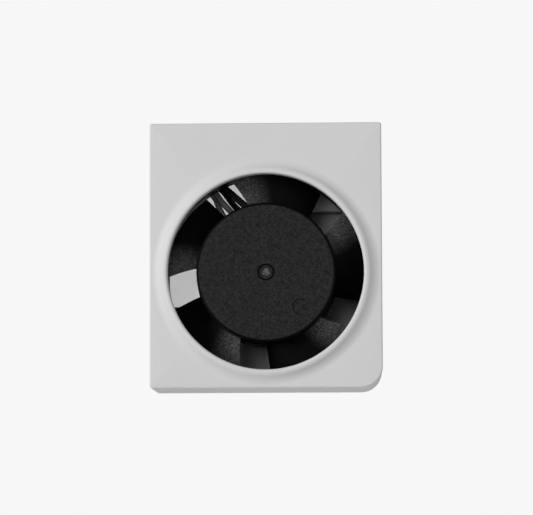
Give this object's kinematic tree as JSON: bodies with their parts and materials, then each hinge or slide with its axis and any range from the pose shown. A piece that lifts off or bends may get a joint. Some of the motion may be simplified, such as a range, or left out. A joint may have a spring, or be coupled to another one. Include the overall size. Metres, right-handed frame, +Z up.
{
  "type": "box fan",
  "caption": "Compact box fan: a light grey plastic housing with a raised round inlet ring, holding an axial fan with a wide flat hub.",
  "frame": {"origin": "middle of the base, on the surface that the housing stands on", "axes": "+Z up, the inlet faces -Y, +X to the right seen from the inlet"},
  "size_m": [0.09, 0.045, 0.103],
  "materials": {
    "housing_plastic": "light grey moulded, fine satin texture",
    "black_plastic": "black glass-filled moulding",
    "impeller_plastic": "black glass-filled moulding, fine mottle",
    "screen_wire": "fine woven wire",
    "screw_steel": "zinc plated",
    "brass": "machined, satin",
    "label_film": "plain silver-grey film",
    "bearing_steel": "ground",
    "lamination_steel": "stamped, oiled",
    "white_plastic": "natural nylon",
    "copper_enamel": "enamelled copper wire",
    "board_laminate": "green solder mask",
    "chip_plastic": "moulded epoxy",
    "capacitor_can": "drawn can",
    "lead_grey_jacket": "dark grey insulation",
    "lead_black_jacket": "black insulation",
    "pin_metal": "tinned brass",
    "ferrite": "bonded ferrite"
  },
  "bodies": {
    "housing": {"front_cover": "housing_plastic", "rear_cover": "housing_plastic", "outlet_screen": "screen_wire", "screen_bezel": "housing_plastic", "cover_screws": "screw_steel", "mounting_inserts": "brass", "fan_frame": "black_plastic", "motor_label": "label_film", "front_bearing_outer_race": "bearing_steel", "rear_bearing_outer_race": "bearing_steel", "bearing_tube": "brass", "stator_core": "lamination_steel", "stator_insulator_front": "white_plastic", "stator_insulator_rear": "white_plastic", "coil_windings": "copper_enamel", "motor_board": "board_laminate", "driver_chip": "chip_plastic", "hall_sensor": "chip_plastic", "smoothing_capacitors": "capacitor_can", "lead_grey": "lead_grey_jacket", "lead_black": "lead_black_jacket", "power_socket": "white_plastic", "socket_pins": "pin_metal"},
    "rotor": {"impeller": "impeller_plastic", "rotor_yoke": "lamination_steel", "ring_magnet": "ferrite", "shaft": "bearing_steel", "front_bearing_inner_race": "bearing_steel", "rear_bearing_inner_race": "bearing_steel", "preload_spring": "bearing_steel", "retaining_clip": "bearing_steel"},
    "front_ball_set": {"front_bearing_balls": "bearing_steel", "front_bearing_cage": "bearing_steel"},
    "rear_ball_set": {"rear_bearing_balls": "bearing_steel", "rear_bearing_cage": "bearing_steel"}
  },
  "joints": [
    {"name": "impeller_spin", "type": "hinge", "parent": "housing", "child": "rotor", "pos_m": [0, 0, 0.045], "axis": [0, -1, 0], "continuous": true},
    {"name": "front_balls_spin", "type": "hinge", "parent": "housing", "child": "front_ball_set", "pos_m": [0, 0, 0.045], "axis": [0, -1, 0], "continuous": true},
    {"name": "rear_balls_spin", "type": "hinge", "parent": "housing", "child": "rear_ball_set", "pos_m": [0, 0, 0.045], "axis": [0, -1, 0], "continuous": true}
  ],
  "couplings": [
    {"joint": "front_balls_spin", "follows": "impeller_spin", "ratio": 0.3636},
    {"joint": "rear_balls_spin", "follows": "impeller_spin", "ratio": 0.3636}
  ]
}
